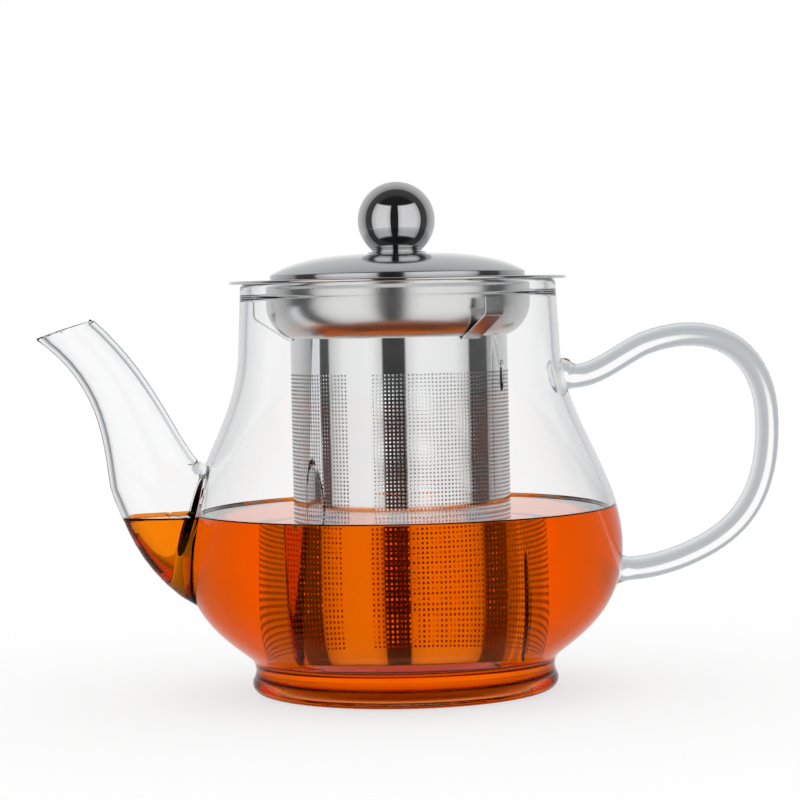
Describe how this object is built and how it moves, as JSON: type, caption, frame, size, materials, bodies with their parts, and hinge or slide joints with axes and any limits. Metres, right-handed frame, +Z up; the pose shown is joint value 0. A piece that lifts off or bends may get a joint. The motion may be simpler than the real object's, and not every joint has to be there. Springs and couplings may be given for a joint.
{
  "type": "glass teapot with infuser",
  "caption": "Blown glass teapot with a curved spout, a glass rod handle, a lift-out perforated steel infuser on spring clips and a domed steel lid with a ball knob.",
  "frame": {"origin": "centre of the foot on the pot's axis, in the plane on which it stands", "axes": "+Z up along the pot's axis, +X towards the handle, -X towards the spout"},
  "size_m": [0.2111, 0.1234, 0.1426],
  "materials": {
    "clear_glass": "clear blown borosilicate glass, fire-polished",
    "satin_steel": "spun stainless steel with a fine satin grain",
    "polished_steel": "buffed stainless steel",
    "mirror_steel": "mirror-polished stainless steel",
    "perforated_steel": "thin stainless sheet with etched round holes"
  },
  "bodies": {
    "pot": {"glass_body": "clear_glass", "glass_spout": "clear_glass", "glass_handle": "clear_glass"},
    "infuser": {"infuser_rim": "polished_steel", "infuser_bowl": "satin_steel", "infuser_tube": "perforated_steel", "infuser_base": "satin_steel"},
    "lid": {"lid_dome": "satin_steel", "lid_locating_ring": "satin_steel", "knob_ferrule": "polished_steel", "knob_ball": "mirror_steel", "knob_insert": "satin_steel", "knob_washer": "satin_steel", "knob_screw": "satin_steel"},
    "clip_left": {"spring_clip_left": "satin_steel"},
    "clip_front": {"spring_clip_front": "satin_steel"},
    "clip_rear": {"spring_clip_rear": "satin_steel"}
  },
  "joints": [
    {"name": "infuser_lift", "type": "slide", "parent": "pot", "child": "infuser", "axis": [0, 0, 1], "range_m": [0, 0.115]},
    {"name": "lid_lift", "type": "slide", "parent": "infuser", "child": "lid", "axis": [0, 0, 1], "range_m": [0, 0.05]},
    {"name": "clip_flex_left", "type": "hinge", "parent": "infuser", "child": "clip_left", "pos_m": [-0.03254, 0, 0.09995], "axis": [0, 1, 0], "range_deg": [0, 6], "stiffness_Nm_per_rad": 0.3},
    {"name": "clip_flex_front", "type": "hinge", "parent": "infuser", "child": "clip_front", "pos_m": [0.01627, -0.02818, 0.09995], "axis": [-0.866, -0.5, 0], "range_deg": [0, 6], "stiffness_Nm_per_rad": 0.3},
    {"name": "clip_flex_rear", "type": "hinge", "parent": "infuser", "child": "clip_rear", "pos_m": [0.01627, 0.02818, 0.09995], "axis": [0.866, -0.5, 0], "range_deg": [0, 6], "stiffness_Nm_per_rad": 0.3}
  ]
}
